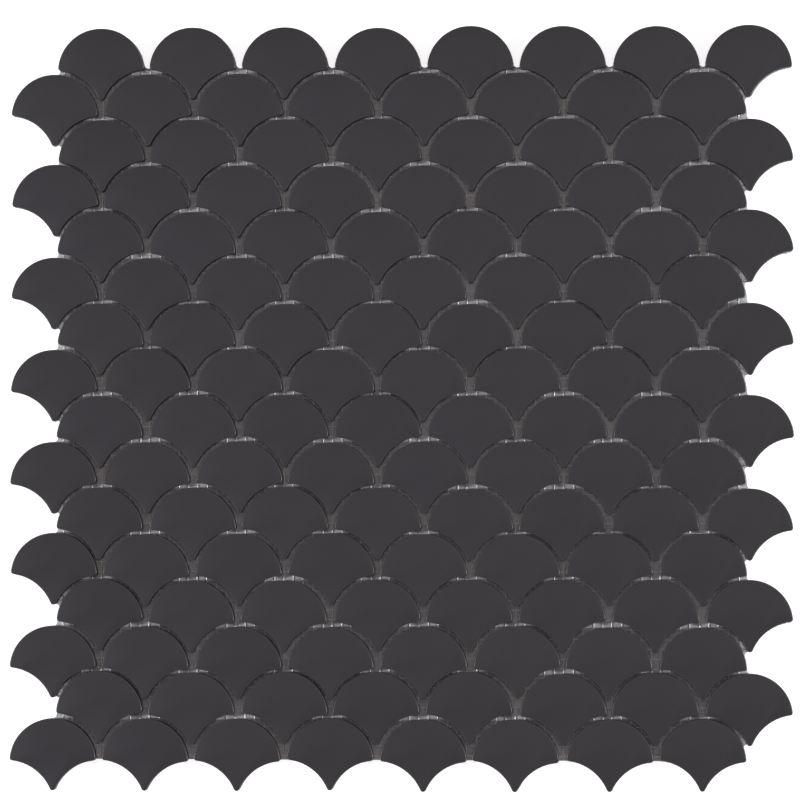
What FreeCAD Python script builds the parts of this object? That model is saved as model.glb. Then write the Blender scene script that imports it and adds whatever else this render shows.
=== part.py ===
"""Fish scale mosaic sheet: fan-shaped glass scales laid point down, in staggered rows, on one backing.

Millimetres. The sheet lies flat, face up: +Z is up, +X runs along the rows, and +Y points from the scales'
points to their round heads. The origin is on the underside of the backing, at the middle of the sheet.
"""

import FreeCAD
import Part

import math
import os
import random
from collections import namedtuple

# The scale: a round head over two hollow flanks that meet in a point
scale_width = 36.0
glass_thickness = 5.0
corner_radius = 1.2
tip_radius = 1.2
arris_radius = 0.4

# The laying pattern, with its open joints
columns = 8
rows = 16
side_joint = 2.4
flank_joint = 1.8
row_pitch = 19.1

# How far a scale may lie from its place in the pattern, and be turned, in degrees
laying_shift = 0.4
laying_turn = 1.3
laying_seed = 7

# The backing: glass-fibre mesh in a film of clear glue. It ends just inside the edges of the outer scales,
# and stands out a little beside those that stand back at the sheet's sides
film_thickness = 0.6
film_inset = 0.2
film_standout = 0.3
film_meniscus_spare = 0.25

head_radius = scale_width / 2
hollow_radius = head_radius + flank_joint
column_pitch = scale_width + side_joint
film_meniscus_radius = side_joint / 2 + film_inset + film_meniscus_spare
to_next_row = FreeCAD.Vector(column_pitch / 2, -row_pitch, 0)

up = FreeCAD.Vector(0, 1, 0)
left = FreeCAD.Vector(-1, 0, 0)
right = FreeCAD.Vector(1, 0, 0)

# One round stretch of an outline. Outside a hollow one is material, inside the others.
Round = namedtuple("Round", "centre radius hollow")


def meeting_point(a, from_a, b, from_b, towards):
    """The point at one distance from a and another from b, on the side of the line a-b that towards gives."""
    span = b - a
    along = (span.Length**2 + from_a**2 - from_b**2) / (2 * span.Length)
    aside = math.sqrt(from_a**2 - along**2)
    direction = FreeCAD.Vector(span).normalize()
    normal = FreeCAD.Vector(-direction.y, direction.x, 0)
    if normal.dot(towards) < 0:
        normal = -normal
    return a + direction * along + normal * aside


def touching_point(a, b):
    """Where two tangent rounds touch, from inside if both are full, from outside if one is hollow."""
    large, small = (a, b) if a.radius > b.radius else (b, a)
    direction = (small.centre - large.centre).normalize()
    return large.centre + direction * large.radius


def arc(round_stretch, start, end):
    """The arc from start to end, anticlockwise on a full round and clockwise on a hollow one."""
    centre, radius, hollow = round_stretch
    from_angle = math.atan2(start.y - centre.y, start.x - centre.x)
    to_angle = math.atan2(end.y - centre.y, end.x - centre.x)
    turn = (to_angle - from_angle) % (2 * math.pi)
    if hollow:
        turn -= 2 * math.pi
    middle = from_angle + turn / 2
    through = centre + FreeCAD.Vector(math.cos(middle), math.sin(middle), 0) * radius
    return Part.Arc(start, through, end).toShape()


def outline(rounds):
    """A closed face, bounded by rounds that each touch the next, in anticlockwise order."""
    following = rounds[1:] + rounds[:1]
    touches = [touching_point(a, b) for a, b in zip(rounds, following)]
    before = touches[-1:] + touches[:-1]
    return Part.Face(Part.Wire([arc(*stretch) for stretch in zip(rounds, before, touches)]))


# The rounds of one scale's outline, drawn in by an inset. Each is placed by the centre of the scale's head.
def head(centre, inset=0.0):
    return Round(centre, head_radius - inset, False)


def hollow(centre, side, inset=0.0):
    """A flank follows the head below it on that side, with the joint between them."""
    head_below = centre + FreeCAD.Vector(side.x * to_next_row.x, to_next_row.y, 0)
    return Round(head_below, hollow_radius + inset, True)


def corner(centre, side, inset=0.0):
    inside, outside = head(centre, inset), hollow(centre, side, inset)
    from_inside, from_outside = inside.radius - corner_radius, outside.radius + corner_radius
    place = meeting_point(inside.centre, from_inside, outside.centre, from_outside, side + up)
    return Round(place, corner_radius, False)


def tip(centre, inset=0.0):
    a, b = hollow(centre, left, inset), hollow(centre, right, inset)
    place = meeting_point(a.centre, a.radius + tip_radius, b.centre, b.radius + tip_radius, up)
    return Round(place, tip_radius, False)


def meniscus(a, b, towards):
    """The film's inner corner between two rounds of its edge, where the glue drew back."""
    reach_a, reach_b = a.radius + film_meniscus_radius, b.radius + film_meniscus_radius
    return Round(meeting_point(a.centre, reach_a, b.centre, reach_b, towards), film_meniscus_radius, True)


tip_reach = tip_radius - tip(FreeCAD.Vector()).centre.y
sheet_height = (rows - 1) * row_pitch + head_radius + tip_reach


def head_centre(row, column):
    """The place of a scale's head in the pattern. Rows count from the top, every other one staggered."""
    stagger = column_pitch / 4 if leans_right(row) else -column_pitch / 4
    x = (column - (columns - 1) / 2) * column_pitch + stagger
    y = sheet_height / 2 - head_radius - row * row_pitch
    return FreeCAD.Vector(x, y, 0)


def leans_right(row):
    return row % 2 == 0


def scale():
    """One scale with its head centre at the origin and its back at z = 0."""
    centre = FreeCAD.Vector()
    face = outline(
        [
            head(centre),
            corner(centre, left),
            hollow(centre, left),
            tip(centre),
            hollow(centre, right),
            corner(centre, right),
        ]
    )
    body = face.extrude(FreeCAD.Vector(0, 0, glass_thickness))
    arris = [edge for edge in body.Edges if edge.BoundBox.ZMin > glass_thickness / 2]
    return body.makeFillet(arris_radius, arris)


def scale_rows():
    """The scales of each row, laid by hand on the film: each a little off its place in the pattern."""
    pattern_scale = scale()
    hand = random.Random(laying_seed)
    laid = []
    for row in range(rows):
        solids = []
        for column in range(columns):
            shift_x = hand.uniform(-laying_shift, laying_shift)
            shift_y = hand.uniform(-laying_shift, laying_shift)
            turn = FreeCAD.Rotation(FreeCAD.Vector(0, 0, 1), hand.uniform(-laying_turn, laying_turn))
            place = head_centre(row, column) + FreeCAD.Vector(shift_x, shift_y, film_thickness)
            solids.append(pattern_scale.transformed(FreeCAD.Placement(place, turn).toMatrix(), True))
        laid.append(Part.makeCompound(solids))
    return laid


def side_edge(side):
    """The film's edge down one side of the sheet, from the top row's head to the bottom row's."""
    column = 0 if side == left else columns - 1
    edge = []
    for row in range(rows):
        centre = head_centre(row, column)
        stands_out = leans_right(row) == (side == right)
        stands_back = not stands_out and 0 < row < rows - 1
        film_head = head(centre, -film_standout if stands_back else film_inset)
        if edge:
            edge.append(meniscus(edge[-1], film_head, side))
        edge.append(film_head)
        if stands_out and row < rows - 1:
            edge.append(corner(centre, side, film_inset))
            edge.append(hollow(centre, side, film_inset))
            edge.append(tip(centre, film_inset))
    return edge


def bottom_edge():
    """The film's edge under the bottom row, from its left corner to its right one."""
    centres = [head_centre(rows - 1, column) for column in range(columns)]
    edge = [corner(centres[0], left, film_inset)]
    for centre in centres:
        edge.append(hollow(centre, left, film_inset))
        edge.append(tip(centre, film_inset))
    edge.append(hollow(centres[-1], right, film_inset))
    edge.append(corner(centres[-1], right, film_inset))
    return edge


def top_edge():
    """The film's edge between the heads of the top row, from right to left, without the two end heads."""
    edge = []
    for column in range(columns - 1, 0, -1):
        this, following = (head(head_centre(0, c), film_inset) for c in (column, column - 1))
        edge.append(meniscus(this, following, up))
        edge.append(following)
    return edge[:-1]


def backing():
    face = outline(side_edge(left) + bottom_edge() + side_edge(right)[::-1] + top_edge())
    return face.extrude(FreeCAD.Vector(0, 0, film_thickness))


os.makedirs("parts", exist_ok=True)
backing().exportStep("parts/mesh_backing.step")
for number, row_of_scales in enumerate(scale_rows(), 1):
    row_of_scales.exportStep(f"parts/scale_row_{number:02d}.step")
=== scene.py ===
import math
import random

import bmesh
import bpy
from mathutils import Euler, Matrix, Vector
from mathutils.bvhtree import BVHTree


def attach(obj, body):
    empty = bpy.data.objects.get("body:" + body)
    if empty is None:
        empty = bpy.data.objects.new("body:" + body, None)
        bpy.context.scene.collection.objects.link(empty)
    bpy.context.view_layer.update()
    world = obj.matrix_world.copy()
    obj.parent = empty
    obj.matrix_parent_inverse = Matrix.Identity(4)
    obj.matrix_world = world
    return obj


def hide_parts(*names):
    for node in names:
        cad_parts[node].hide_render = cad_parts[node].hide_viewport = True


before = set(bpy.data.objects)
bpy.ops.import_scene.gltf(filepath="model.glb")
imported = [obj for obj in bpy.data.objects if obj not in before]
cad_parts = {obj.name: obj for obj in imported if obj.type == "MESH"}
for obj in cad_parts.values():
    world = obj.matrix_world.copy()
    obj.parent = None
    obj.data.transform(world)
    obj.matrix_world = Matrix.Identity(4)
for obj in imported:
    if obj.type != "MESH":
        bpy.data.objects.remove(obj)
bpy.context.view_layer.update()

# The scales. Fan-shaped pieces of opaque charcoal glass, pressed in a mould and etched matt, so the face is
# flat with a fine grain, and the arris is soft and smoother, and its colour is painted paler as a painted
# highlight where the edge catches the light. They are laid by hand in staggered rows, each a little off its
# place. Their shape and places are those of the solids that they stand for.
mm = 0.001
scale_width = 36.0 * mm
glass_thickness = 5.0 * mm
corner_radius = 1.2 * mm
tip_radius = 1.2 * mm
arris_radius = 0.4 * mm
columns = 8
rows = 16
side_joint = 2.4 * mm
flank_joint = 1.8 * mm
row_pitch = 19.1 * mm
film_thickness = 0.6 * mm

# How far a scale may lie from its place, in millimetres, and be turned, in degrees
laying_shift = 0.4
laying_turn = 1.3
laying_seed = 7

# Straight steps in each round stretch of a scale's outline, and up its arris
head_steps = 40
corner_steps = 4
flank_steps = 14
tip_steps = 6
arris_steps = 3

# The scales' glass varies between two hues, and a little in tone from piece to piece
violet_charcoal = (0.0245, 0.0220, 0.0262, 1)
plain_charcoal = (0.0250, 0.0224, 0.0252, 1)
batch_seed = 11
# How much paler the arris's colour is painted: a painted highlight along the edge, where it catches the light
painted_arris_highlight = 2.3
arris_roughness = 0.3

head_radius = scale_width / 2
hollow_radius = head_radius + flank_joint
column_pitch = scale_width + side_joint
to_next_row = Vector((column_pitch / 2, -row_pitch))

# The corner touches the head from inside and the hollow flank from outside. The tip touches both flanks.
to_head = head_radius - corner_radius
to_flank = hollow_radius + corner_radius
along = (to_next_row.length_squared + to_head**2 - to_flank**2) / (2 * to_next_row.length)
aside = math.sqrt(to_head**2 - along**2)
forward = to_next_row.normalized()
corner_centre = forward * along + Vector((-forward.y, forward.x)) * aside
tip_centre = Vector((0, math.sqrt((hollow_radius + tip_radius) ** 2 - to_next_row.x**2) - row_pitch))
sheet_height = (rows - 1) * row_pitch + head_radius + tip_radius - tip_centre.y


def bearing(a, b):
    """The direction from a to b, as an angle."""
    return math.atan2(b.y - a.y, b.x - a.x)


def arc(centre, radius, start, end, steps):
    """Points along an arc, without its last one, which starts the next arc."""
    turns = [start + (end - start) * i / steps for i in range(steps)]
    return [(centre.x + radius * math.cos(t), centre.y + radius * math.sin(t)) for t in turns]


def scale_outline(inset):
    """One scale's outline, anticlockwise from its right corner, drawn in by an inset."""
    head_centre = Vector((0, 0))
    corner_to_head = bearing(head_centre, corner_centre)
    corner_to_flank = bearing(corner_centre, to_next_row)
    flank_to_corner = bearing(to_next_row, corner_centre)
    flank_to_tip = bearing(to_next_row, tip_centre)
    tip_to_flank = bearing(tip_centre, to_next_row)
    left_corner = Vector((-corner_centre.x, corner_centre.y))
    left_flank = Vector((-to_next_row.x, to_next_row.y))
    small, wide = corner_radius - inset, hollow_radius + inset
    return (
        arc(corner_centre, small, corner_to_flank, corner_to_head, corner_steps)
        + arc(head_centre, head_radius - inset, corner_to_head, math.pi - corner_to_head, head_steps)
        + arc(left_corner, small, math.pi - corner_to_head, math.pi - corner_to_flank, corner_steps)
        + arc(left_flank, wide, math.pi - flank_to_corner, math.pi - flank_to_tip, flank_steps)
        + arc(tip_centre, tip_radius - inset, -math.pi - tip_to_flank, tip_to_flank, tip_steps)
        + arc(to_next_row, wide, flank_to_tip, flank_to_corner, flank_steps)
    )


def ringed_mesh(name, rings, capped):
    """A closed mesh through rings of points: capped at both ends, or from the last ring back to the first."""
    shaping = bmesh.new()
    loops = [[shaping.verts.new((x, y, z)) for x, y in points] for points, z in rings]
    following_loops = loops[1:] if capped else loops[1:] + loops[:1]
    for low, high in zip(loops, following_loops):
        for i, vertex in enumerate(low):
            following = (i + 1) % len(low)
            shaping.faces.new((vertex, low[following], high[following], high[i])).smooth = True
    if capped:
        shaping.faces.new(loops[-1]).smooth = True
        shaping.faces.new(loops[0][::-1])
    mesh = bpy.data.meshes.new(name)
    shaping.to_mesh(mesh)
    shaping.free()
    return mesh


def pattern_scale_mesh():
    """The wall of a scale and the soft arris up to its face. The arris is marked, for its smoother finish and
    its painted highlight.
    """
    rings = [(scale_outline(0), 0)]
    for step in range(arris_steps + 1):
        angle = math.pi / 2 * step / arris_steps
        inset = arris_radius * (1 - math.cos(angle))
        height = glass_thickness - arris_radius * (1 - math.sin(angle))
        rings.append((scale_outline(inset), height))
    mesh = ringed_mesh("pattern_scale", rings, True)
    ring_length = len(rings[0][0])
    ring_of_point = [i // ring_length for i in range(len(mesh.vertices))]
    polish_and_painted_highlight = mesh.attributes.new("arris", "FLOAT", "POINT")
    polish_and_painted_highlight.data.foreach_set("value", [float(1 < ring <= arris_steps) for ring in ring_of_point])
    return mesh


def laid_places():
    """Each row's places as (x, y, turn, tone, tint): where its scales lie, and how their glass differs."""
    hand = random.Random(laying_seed)
    batch = random.Random(batch_seed)
    laid = []
    for row in range(rows):
        stagger = column_pitch / 4 if row % 2 == 0 else -column_pitch / 4
        places = []
        for column in range(columns):
            x = (column - (columns - 1) / 2) * column_pitch + stagger
            y = sheet_height / 2 - head_radius - row * row_pitch
            x += hand.uniform(-laying_shift, laying_shift) * mm
            y += hand.uniform(-laying_shift, laying_shift) * mm
            turn = math.radians(hand.uniform(-laying_turn, laying_turn))
            places.append((x, y, turn, batch.gauss(0, 1), batch.random()))
        laid.append(places)
    return laid


def add_node(tree, kind, x, y, **settings):
    node = tree.nodes.new(kind)
    node.location = (x, y)
    for key, value in settings.items():
        setattr(node, key, value)
    return node


def laying_tree():
    """Lays one pattern piece on every point, turned by the point's own angle."""
    tree = bpy.data.node_groups.new("lay on places", "GeometryNodeTree")
    face = tree.interface
    face.new_socket("Places", in_out="INPUT", socket_type="NodeSocketGeometry")
    face.new_socket("Piece", in_out="INPUT", socket_type="NodeSocketObject")
    face.new_socket("Height", in_out="INPUT", socket_type="NodeSocketFloat")
    face.new_socket("Material", in_out="INPUT", socket_type="NodeSocketMaterial")
    face.new_socket("Laid", in_out="OUTPUT", socket_type="NodeSocketGeometry")
    start = add_node(tree, "NodeGroupInput", -800, 0)
    piece = add_node(tree, "GeometryNodeObjectInfo", -600, -200)
    turn = add_node(tree, "GeometryNodeInputNamedAttribute", -800, -400, data_type="FLOAT")
    turn.inputs["Name"].default_value = "turn"
    axis = add_node(tree, "ShaderNodeCombineXYZ", -600, -400)
    rotation = add_node(tree, "FunctionNodeEulerToRotation", -400, -400)
    lift = add_node(tree, "ShaderNodeCombineXYZ", -600, 200)
    raise_up = add_node(tree, "GeometryNodeSetPosition", -400, 100)
    lay = add_node(tree, "GeometryNodeInstanceOnPoints", -200, 0)
    real = add_node(tree, "GeometryNodeRealizeInstances", 0, 0)
    paint = add_node(tree, "GeometryNodeSetMaterial", 200, 0)
    end = add_node(tree, "NodeGroupOutput", 400, 0)
    join = tree.links.new
    join(start.outputs["Piece"], piece.inputs["Object"])
    join(start.outputs["Places"], raise_up.inputs["Geometry"])
    join(start.outputs["Height"], lift.inputs["Z"])
    join(lift.outputs["Vector"], raise_up.inputs["Offset"])
    join(turn.outputs["Attribute"], axis.inputs["Z"])
    join(axis.outputs["Vector"], rotation.inputs["Euler"])
    join(raise_up.outputs["Geometry"], lay.inputs["Points"])
    join(piece.outputs["Geometry"], lay.inputs["Instance"])
    join(rotation.outputs["Rotation"], lay.inputs["Rotation"])
    join(lay.outputs["Instances"], real.inputs["Geometry"])
    join(real.outputs["Geometry"], paint.inputs["Geometry"])
    join(start.outputs["Material"], paint.inputs["Material"])
    join(paint.outputs["Geometry"], end.inputs["Laid"])
    return tree


def applied(name, mesh, tree, **values):
    """A new object whose mesh is what the tree makes of a mesh, with nothing left to evaluate."""
    worker = bpy.data.objects.new(name + "_worker", mesh)
    bpy.context.scene.collection.objects.link(worker)
    modifier = worker.modifiers.new("tree", "NODES")
    modifier.node_group = tree
    for item in tree.interface.items_tree:
        if item.in_out == "INPUT" and item.name in values:
            modifier[item.identifier] = values[item.name]
    bpy.context.view_layer.update()
    evaluated = worker.evaluated_get(bpy.context.evaluated_depsgraph_get())
    made = bpy.data.meshes.new_from_object(evaluated)
    worker.modifiers.clear()
    bpy.data.objects.remove(worker)
    made.name = name
    piece = bpy.data.objects.new(name, made)
    bpy.context.scene.collection.objects.link(piece)
    return piece


def places_mesh(name, places):
    """Points for the laying tree, with each place's turn, tone and tint."""
    mesh = bpy.data.meshes.new(name)
    mesh.from_pydata([(x, y, 0) for x, y, *_ in places], [], [])
    for key, which in (("turn", 2), ("tone", 3), ("tint", 4)):
        attribute = mesh.attributes.new(key, "FLOAT", "POINT")
        attribute.data.foreach_set("value", [place[which] for place in places])
    return mesh


def new_material(name):
    material = bpy.data.materials.new(name)
    material.use_nodes = True
    tree = material.node_tree
    return material, tree, tree.nodes["Principled BSDF"]


def feed(tree, value, socket):
    """Sets a socket to a plain value, or joins another node's output to it."""
    if isinstance(value, bpy.types.NodeSocket):
        tree.links.new(value, socket)
    else:
        socket.default_value = value


def own_value(tree, x, y, name):
    """What a piece's own attribute says."""
    return add_node(tree, "ShaderNodeAttribute", x, y, attribute_name=name).outputs["Fac"]


# Noise seldom leaves this range
noise_reach = (0.3, 0.7)


def noise(tree, x, y, scale, detail, roughness=0.5):
    """Even noise in the object's own space. The scale is in cycles per metre."""
    coordinates = add_node(tree, "ShaderNodeTexCoord", x - 200, y)
    texture = add_node(tree, "ShaderNodeTexNoise", x, y)
    texture.inputs["Scale"].default_value = scale
    texture.inputs["Detail"].default_value = detail
    texture.inputs["Roughness"].default_value = roughness
    tree.links.new(coordinates.outputs["Object"], texture.inputs["Vector"])
    return texture.outputs["Fac"]


def ranged(tree, x, y, value, old_range, new_range):
    """A value's old range stretched to a new one."""
    node = add_node(tree, "ShaderNodeMapRange", x, y)
    for key, limit in zip(("From Min", "From Max", "To Min", "To Max"), old_range + new_range):
        node.inputs[key].default_value = limit
    tree.links.new(value, node.inputs["Value"])
    return node.outputs["Result"]


def calculated(tree, x, y, operation, *values):
    node = add_node(tree, "ShaderNodeMath", x, y, operation=operation)
    for value, socket in zip(values, node.inputs):
        feed(tree, value, socket)
    return node.outputs["Value"]


def mixed(tree, x, y, kind, factor, a, b):
    """Between two colours (RGBA) or two numbers (FLOAT), by a factor."""
    node = add_node(tree, "ShaderNodeMix", x, y, data_type=kind)
    feed(tree, factor, node.inputs["Factor"])
    feed(tree, a, node.inputs["A"])
    feed(tree, b, node.inputs["B"])
    return node.outputs["Result"]


def shaded(tree, x, y, colour, level):
    """A colour made lighter or darker."""
    node = add_node(tree, "ShaderNodeVectorMath", x, y, operation="SCALE")
    tree.links.new(colour, node.inputs[0])
    tree.links.new(level, node.inputs["Scale"])
    return node.outputs["Vector"]


def bump(tree, x, y, height, distance, strength, before=None):
    node = add_node(tree, "ShaderNodeBump", x, y)
    node.inputs["Distance"].default_value = distance
    node.inputs["Strength"].default_value = strength
    tree.links.new(height, node.inputs["Height"])
    if before is not None:
        tree.links.new(before, node.inputs["Normal"])
    return node.outputs["Normal"]


def matt_charcoal_glass():
    material, tree, shader = new_material("matt charcoal glass")
    join = tree.links.new
    tint = own_value(tree, -1000, 300, "tint")
    tone = own_value(tree, -1000, 100, "tone")
    arris = own_value(tree, -900, -300, "arris")
    hue = mixed(tree, -700, 300, "RGBA", tint, violet_charcoal, plain_charcoal)
    clouds = noise(tree, -900, 0, scale=60, detail=3)
    cloud_level = ranged(tree, -700, 0, clouds, noise_reach, (0.96, 1.04))
    piece_level = ranged(tree, -700, -200, tone, (-2, 2), (0.94, 1.06))
    face_level = calculated(tree, -500, 0, "MULTIPLY", cloud_level, piece_level)
    # Painted highlight: the arris's colour is made paler, as if its edge caught the light
    painted_highlight_level = ranged(tree, -700, -300, arris, (0, 1), (1.0, painted_arris_highlight))
    level = calculated(tree, -400, 0, "MULTIPLY", face_level, painted_highlight_level)
    join(shaded(tree, -200, 200, hue, level), shader.inputs["Base Color"])
    etching = noise(tree, -900, -500, scale=400, detail=3)
    face_roughness = ranged(tree, -700, -500, etching, noise_reach, (0.50, 0.58))
    join(mixed(tree, -500, -300, "FLOAT", arris, face_roughness, arris_roughness), shader.inputs["Roughness"])
    swell = noise(tree, -700, -800, scale=110, detail=1)
    grit = noise(tree, -500, -1000, scale=5000, detail=2)
    waves = bump(tree, -500, -700, swell, distance=0.4 * mm, strength=0.08)
    grain = bump(tree, -300, -700, grit, distance=0.02 * mm, strength=0.5, before=waves)
    join(grain, shader.inputs["Normal"])
    return material


matt_glass = matt_charcoal_glass()
lay_on_places = laying_tree()
pattern_scale = bpy.data.objects.new("pattern_scale", pattern_scale_mesh())
all_places = laid_places()
for number, places in enumerate(all_places, 1):
    name = f"glass_scales_{number:02d}"
    row_piece = applied(
        name,
        places_mesh(name + "_places", places),
        lay_on_places,
        Piece=pattern_scale,
        Height=film_thickness,
        Material=matt_glass,
    )
    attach(row_piece, "root")
    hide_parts(f"scale_row_{number:02d}")

# The glue film. One sheet of clear, slightly milky plastic glue across the backs of all the scales. It spans
# the open joints and stands out between the outer scales. A foot of it climbs a little up every scale's wall,
# where it set.
film_low = 0.05 * mm
film_high = 0.30 * mm
foot_width = 0.35 * mm
foot_height = 0.45 * mm
foot_depth = 0.05 * mm
foot_tuck = 0.05 * mm
foot_lip = 0.02 * mm
foot_waist = 0.3
milky_glue = (0.59, 0.57, 0.575, 1)
pale_glue = (0.80, 0.78, 0.795, 1)


def clear_glue():
    material, tree, shader = new_material("clear glue film")
    join = tree.links.new
    haze = noise(tree, -700, 200, scale=700, detail=4, roughness=0.7)
    patches = noise(tree, -700, 0, scale=45, detail=1)
    patch_level = ranged(tree, -500, 100, patches, noise_reach, (0.84, 1.12))
    colour = mixed(tree, -400, 300, "RGBA", haze, milky_glue, pale_glue)
    join(shaded(tree, -200, 300, colour, patch_level), shader.inputs["Base Color"])
    join(ranged(tree, -400, 0, haze, noise_reach, (0.44, 0.64)), shader.inputs["Alpha"])
    join(ranged(tree, -400, -200, haze, noise_reach, (0.22, 0.38)), shader.inputs["Roughness"])
    ripples = noise(tree, -600, -500, scale=900, detail=2)
    join(bump(tree, -400, -500, ripples, distance=0.2 * mm, strength=0.5), shader.inputs["Normal"])
    return material


glue = clear_glue()
film_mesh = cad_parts["mesh_backing"].data.copy()
film_mesh.name = "glue_film"
film_mesh.materials.clear()
film_mesh.materials.append(glue)
shaping = bmesh.new()
shaping.from_mesh(film_mesh)
bmesh.ops.remove_doubles(shaping, verts=shaping.verts, dist=0.001 * mm)
for vertex in shaping.verts:
    vertex.co.z = film_high if vertex.co.z > film_thickness / 2 else film_low
shaping.normal_update()
film_sides = BVHTree.FromBMesh(shaping)
shaping.to_mesh(film_mesh)
shaping.free()
film = bpy.data.objects.new("glue_film", film_mesh)
bpy.context.scene.collection.objects.link(film)
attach(film, "root")
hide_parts("mesh_backing")

# From the foot's edge in the film, up its hollow slope to its lip on the wall, and down again behind the wall
foot_rings = [
    (scale_outline(-foot_width), film_high - foot_depth),
    (scale_outline(-foot_width), film_high),
    (scale_outline(-foot_width * foot_waist), film_high + foot_height * foot_waist),
    (scale_outline(-foot_lip), film_high + foot_height),
    (scale_outline(foot_tuck), film_high + foot_height),
    (scale_outline(foot_tuck), film_high - foot_depth),
]


def end_feet_at_film(mesh):
    """Where a foot has no film below it, at the sheet's edge, it is left out. Its ends run out to a point."""
    ring = len(foot_rings[0][0])
    whole = ring * len(foot_rings)
    above, down = Vector((0, 0, glass_thickness)), Vector((0, 0, -1))
    shaping = bmesh.new()
    shaping.from_mesh(mesh)
    shaping.verts.ensure_lookup_table()
    left_out = []
    for first in range(0, len(shaping.verts), whole):
        sections = [[shaping.verts[j] for j in range(first + i, first + whole, ring)] for i in range(ring)]
        bare = [film_sides.ray_cast(section[0].co + above, down)[0] is None for section in sections]
        for i in range(ring):
            if bare[i - 1] and bare[i] and bare[(i + 1) % ring]:
                left_out += sections[i]
            elif bare[i]:
                behind_wall = sections[i][-1].co.copy()
                for vertex in sections[i]:
                    vertex.co = behind_wall
    bmesh.ops.delete(shaping, geom=left_out, context="VERTS")
    bmesh.ops.remove_doubles(shaping, verts=shaping.verts, dist=0.001 * mm)
    loose = [edge for edge in shaping.edges if not edge.link_faces]
    bmesh.ops.delete(shaping, geom=loose, context="EDGES")
    shaping.to_mesh(mesh)
    shaping.free()


pattern_foot = bpy.data.objects.new("pattern_foot", ringed_mesh("pattern_foot", foot_rings, False))
every_place = [place for places in all_places for place in places]
feet = applied(
    "glue_feet",
    places_mesh("feet_places", every_place),
    lay_on_places,
    Piece=pattern_foot,
    Height=0.0,
    Material=glue,
)
end_feet_at_film(feet.data)
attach(feet, "root")

# The glass-fibre mesh. White threads of glass fibre, crossing every 4 mm, set in the glue so that the film
# doesn't stretch. They run along and across the rows and are cut off with the film at the sheet's edge.
mesh_pitch = 4.0 * mm
mesh_span = 340 * mm
thread_thickness = 0.40 * mm
thread_sides = 8
thread_step = 2.0 * mm
shortest_thread = 0.6 * mm
warp_width, weft_width = 0.65 * mm, 0.55 * mm
warp_height, weft_height = 0.37 * mm, 0.27 * mm
warp_shift, weft_shift = -0.5 * mm, 0.4 * mm
dull_fibre = (0.64, 0.64, 0.66, 1)
white_fibre = (0.78, 0.78, 0.79, 1)

# Threads lie a little off their places. Each wavers in a slow and a quick wave, in radians per metre, and
# starts at a phase of its own, in radians.
thread_scatter = 0.08 * mm
thread_waver = 0.1 * mm
slow_wave = 90
quick_wave = 310
latest_phase = 6.28
quick_phase_gain = 2.3
weave_seed = 5


def cuts(origin, direction):
    """The film's stretches along a line: pairs of distances where the line enters and leaves it."""
    past_wall = 0.01 * mm
    found, start = [], 0.0
    while True:
        hit, _, _, distance = film_sides.ray_cast(origin + direction * start, direction)
        if hit is None:
            break
        start += distance
        found.append(start)
        start += past_wall
    return [(a, b) for a, b in zip(found[::2], found[1::2]) if b - a > shortest_thread]


def thread_lines(direction, across, height, shift):
    """Points and edges of every thread in one direction, each with a slight waver of its own."""
    weave = random.Random(weave_seed)
    points, edges = [], []
    count = round(mesh_span / mesh_pitch)
    for k in range(count):
        place = (k - (count - 1) / 2) * mesh_pitch + shift + weave.gauss(0, thread_scatter)
        origin = across * place - direction * mesh_span / 2 + Vector((0, 0, (film_low + film_high) / 2))
        phase = weave.uniform(0, latest_phase)
        for enter, leave in cuts(origin, direction):
            steps = max(2, round((leave - enter) / thread_step))
            for i in range(steps + 1):
                t = enter + (leave - enter) * i / steps
                slow = math.sin(phase + t * slow_wave)
                quick = math.sin(phase * quick_phase_gain + t * quick_wave)
                point = origin + direction * t + across * thread_waver * (slow + quick / 2)
                point.z = height
                if i:
                    edges.append((len(points) - 1, len(points)))
                points.append(point)
    return points, edges


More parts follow.
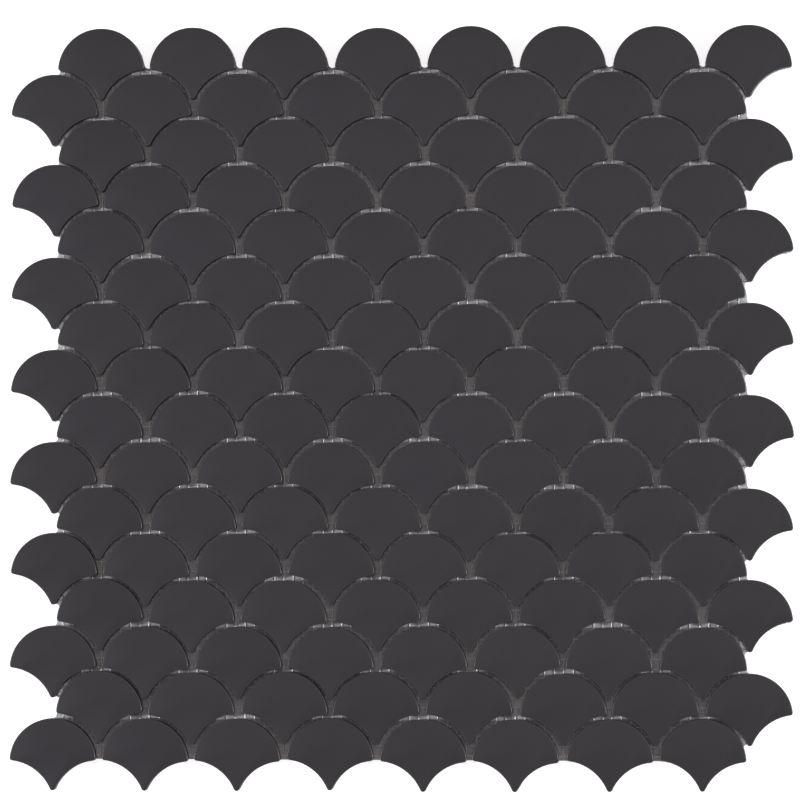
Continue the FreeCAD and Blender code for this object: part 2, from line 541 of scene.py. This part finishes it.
def thread_tree():
    """Turns lines into flattened threads of a given width and height."""
    tree = bpy.data.node_groups.new("spin threads", "GeometryNodeTree")
    face = tree.interface
    face.new_socket("Lines", in_out="INPUT", socket_type="NodeSocketGeometry")
    face.new_socket("Thread width", in_out="INPUT", socket_type="NodeSocketFloat")
    face.new_socket("Thread height", in_out="INPUT", socket_type="NodeSocketFloat")
    face.new_socket("Sides", in_out="INPUT", socket_type="NodeSocketInt")
    face.new_socket("Material", in_out="INPUT", socket_type="NodeSocketMaterial")
    face.new_socket("Threads", in_out="OUTPUT", socket_type="NodeSocketGeometry")
    start = add_node(tree, "NodeGroupInput", -800, 0)
    line = add_node(tree, "GeometryNodeMeshToCurve", -500, 200)
    upright = add_node(tree, "GeometryNodeSetCurveNormal", -300, 200)
    upright.mode = "Z_UP"
    section = add_node(tree, "GeometryNodeCurvePrimitiveCircle", -600, -100)
    section.inputs["Radius"].default_value = 0.5
    size = add_node(tree, "ShaderNodeCombineXYZ", -600, -300)
    size.inputs["Z"].default_value = 1
    flat = add_node(tree, "GeometryNodeTransform", -400, -100)
    spin = add_node(tree, "GeometryNodeCurveToMesh", -100, 0)
    spin.inputs["Fill Caps"].default_value = True
    smooth = add_node(tree, "GeometryNodeSetShadeSmooth", 50, 0)
    real = add_node(tree, "GeometryNodeRealizeInstances", 150, 0)
    paint = add_node(tree, "GeometryNodeSetMaterial", 300, 0)
    end = add_node(tree, "NodeGroupOutput", 500, 0)
    join = tree.links.new
    join(start.outputs["Lines"], line.inputs["Mesh"])
    join(start.outputs["Sides"], section.inputs["Resolution"])
    join(start.outputs["Thread width"], size.inputs["X"])
    join(start.outputs["Thread height"], size.inputs["Y"])
    join(section.outputs["Curve"], flat.inputs["Geometry"])
    join(size.outputs["Vector"], flat.inputs["Scale"])
    join(line.outputs["Curve"], upright.inputs["Curve"])
    join(upright.outputs["Curve"], spin.inputs["Curve"])
    join(flat.outputs["Geometry"], spin.inputs["Profile Curve"])
    join(spin.outputs["Mesh"], smooth.inputs["Geometry"])
    join(smooth.outputs["Geometry"], real.inputs["Geometry"])
    join(real.outputs["Geometry"], paint.inputs["Geometry"])
    join(start.outputs["Material"], paint.inputs["Material"])
    join(paint.outputs["Geometry"], end.inputs["Threads"])
    return tree


def glass_fibre():
    """White fibre under the gloss of the glue that it lies in."""
    material, tree, shader = new_material("white glass fibre")
    join = tree.links.new
    fuzz = noise(tree, -700, 200, scale=3000, detail=2)
    join(mixed(tree, -400, 300, "RGBA", fuzz, dull_fibre, white_fibre), shader.inputs["Base Color"])
    join(ranged(tree, -400, 0, fuzz, noise_reach, (0.15, 0.3)), shader.inputs["Roughness"])
    shader.inputs["IOR"].default_value = 1.56
    shader.inputs["Coat Weight"].default_value = 1.0
    shader.inputs["Coat Roughness"].default_value = 0.2
    join(bump(tree, -400, -300, fuzz, distance=0.1 * mm, strength=0.5), shader.inputs["Normal"])
    return material


fibre = glass_fibre()
spin_threads = thread_tree()
along_rows, up_sheet = Vector((1, 0, 0)), Vector((0, 1, 0))
for name, direction, across, height, shift, width in (
    ("mesh_warp", up_sheet, along_rows, warp_height, warp_shift, warp_width),
    ("mesh_weft", along_rows, up_sheet, weft_height, weft_shift, weft_width),
):
    lines = bpy.data.meshes.new(name + "_lines")
    points, edges = thread_lines(direction, across, height, shift)
    lines.from_pydata(points, edges, [])
    section = {"Thread width": width, "Thread height": thread_thickness, "Sides": thread_sides}
    threads = applied(name, lines, spin_threads, Material=fibre, **section)
    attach(threads, "root")

# The setting. A white table with a low white wall all round it, a low lamp at each side as for copying a flat
# picture, a little soft light from above and all round, and a camera that looks down on the sheet from just
# right of its middle.
table_radius = 8.0
wall_height = 2.8
wall_panels = 48
table_white = (0.88, 0.88, 0.88, 1)
table_glow = 0.76

# Under the clear film, the glow fades in between these distances from the middle, beside the outer scales
glow_from = 137.5 * mm
full_glow_from = 141.5 * mm


def white_table():
    """White paint, with a glow that shows to the eye, in gloss and through glass, and lights nothing else."""
    material = bpy.data.materials.new("white table")
    material.use_nodes = True
    tree = material.node_tree
    tree.nodes.clear()
    join = tree.links.new
    place = add_node(tree, "ShaderNodeTexCoord", -1300, -400)
    apart = add_node(tree, "ShaderNodeSeparateXYZ", -1100, -400)
    join(place.outputs["Object"], apart.inputs["Vector"])
    from_middle = calculated(tree, -900, -400, "ABSOLUTE", apart.outputs["X"])
    beside_sheet = ranged(tree, -700, -400, from_middle, (glow_from, full_glow_from), (0, 1))
    ray = add_node(tree, "ShaderNodeLightPath", -1100, 0).outputs
    mirrored = calculated(tree, -900, 0, "MAXIMUM", ray["Is Glossy Ray"], ray["Is Transmission Ray"])
    seen = calculated(tree, -700, 0, "MAXIMUM", ray["Is Camera Ray"], mirrored)
    past_no_film = calculated(tree, -900, -200, "LESS_THAN", ray["Transparent Depth"], 0.5)
    glows = calculated(tree, -500, -200, "MAXIMUM", past_no_film, beside_sheet)
    seen_glow = calculated(tree, -300, -100, "MULTIPLY", seen, glows)
    paint = add_node(tree, "ShaderNodeBsdfDiffuse", 0, 100)
    paint.inputs["Color"].default_value = table_white
    glow = add_node(tree, "ShaderNodeEmission", 0, -100)
    join(calculated(tree, -150, -100, "MULTIPLY", seen_glow, table_glow), glow.inputs["Strength"])
    both = add_node(tree, "ShaderNodeAddShader", 200, 0)
    output = add_node(tree, "ShaderNodeOutputMaterial", 400, 0)
    join(paint.outputs["BSDF"], both.inputs[0])
    join(glow.outputs["Emission"], both.inputs[1])
    join(both.outputs["Shader"], output.inputs["Surface"])
    return material


table_shape = bmesh.new()
bmesh.ops.create_circle(table_shape, cap_ends=True, segments=wall_panels, radius=table_radius)
raised = bmesh.ops.extrude_edge_only(table_shape, edges=table_shape.edges)
wall_top = [part for part in raised["geom"] if isinstance(part, bmesh.types.BMVert)]
bmesh.ops.translate(table_shape, verts=wall_top, vec=(0, 0, wall_height))
table_mesh = bpy.data.meshes.new("table")
table_shape.to_mesh(table_mesh)
table_shape.free()
table_mesh.materials.append(white_table())
table = bpy.data.objects.new("table", table_mesh)
bpy.context.scene.collection.objects.link(table)

world = bpy.data.worlds.new("studio")
bpy.context.scene.world = world
world.use_nodes = True
soft_light = world.node_tree.nodes["Background"]
soft_light.inputs["Color"].default_value = (1.0, 0.88, 0.88, 1)
soft_light.inputs["Strength"].default_value = 0.28


def lamp_box(name, azimuth, elevation, distance, size, power, colour):
    """A square lamp that faces the sheet. Its azimuth is in degrees from +X towards +Y."""
    lamp = bpy.data.lights.new(name, "AREA")
    lamp.shape = "SQUARE"
    lamp.size = size
    lamp.energy = power
    lamp.color = colour
    box = bpy.data.objects.new(name, lamp)
    turn = Euler((0, math.radians(90 - elevation), math.radians(azimuth)))
    box.location = turn.to_matrix() @ Vector((0, 0, distance))
    box.rotation_euler = turn
    bpy.context.scene.collection.objects.link(box)


cool, neutral = (0.91, 0.95, 1.0), (1.0, 1.0, 1.0)
lamp_box("left_lamp", azimuth=184.5, elevation=33, distance=3.2, size=0.3, power=62, colour=cool)
lamp_box("right_lamp", azimuth=0.5, elevation=29, distance=3.2, size=0.3, power=62, colour=cool)
lamp_box("top_box", azimuth=58, elevation=77, distance=1.5, size=0.6, power=1.34, colour=neutral)

# The picture's width in pixels, and how many of them show a millimetre of the scales' faces
picture_width = 800
picture_scale = 2.4185
sensor_width = 36
camera_distance = 2.0

# In degrees, from looking straight down
camera_turns = (1.5, 3.1, 0.09)
looked_at = Vector((-0.2 * mm, 3.4 * mm, film_thickness + glass_thickness))

lens = bpy.data.cameras.new("camera")
lens.sensor_width = sensor_width
lens.lens = sensor_width * camera_distance / (picture_width / picture_scale * mm)
camera = bpy.data.objects.new("camera", lens)
facing = Euler([math.radians(turn) for turn in camera_turns])
camera.location = looked_at + facing.to_matrix() @ Vector((0, 0, camera_distance))
camera.rotation_euler = facing
bpy.context.scene.collection.objects.link(camera)
bpy.context.scene.camera = camera
bpy.context.scene.view_settings.view_transform = "Standard"
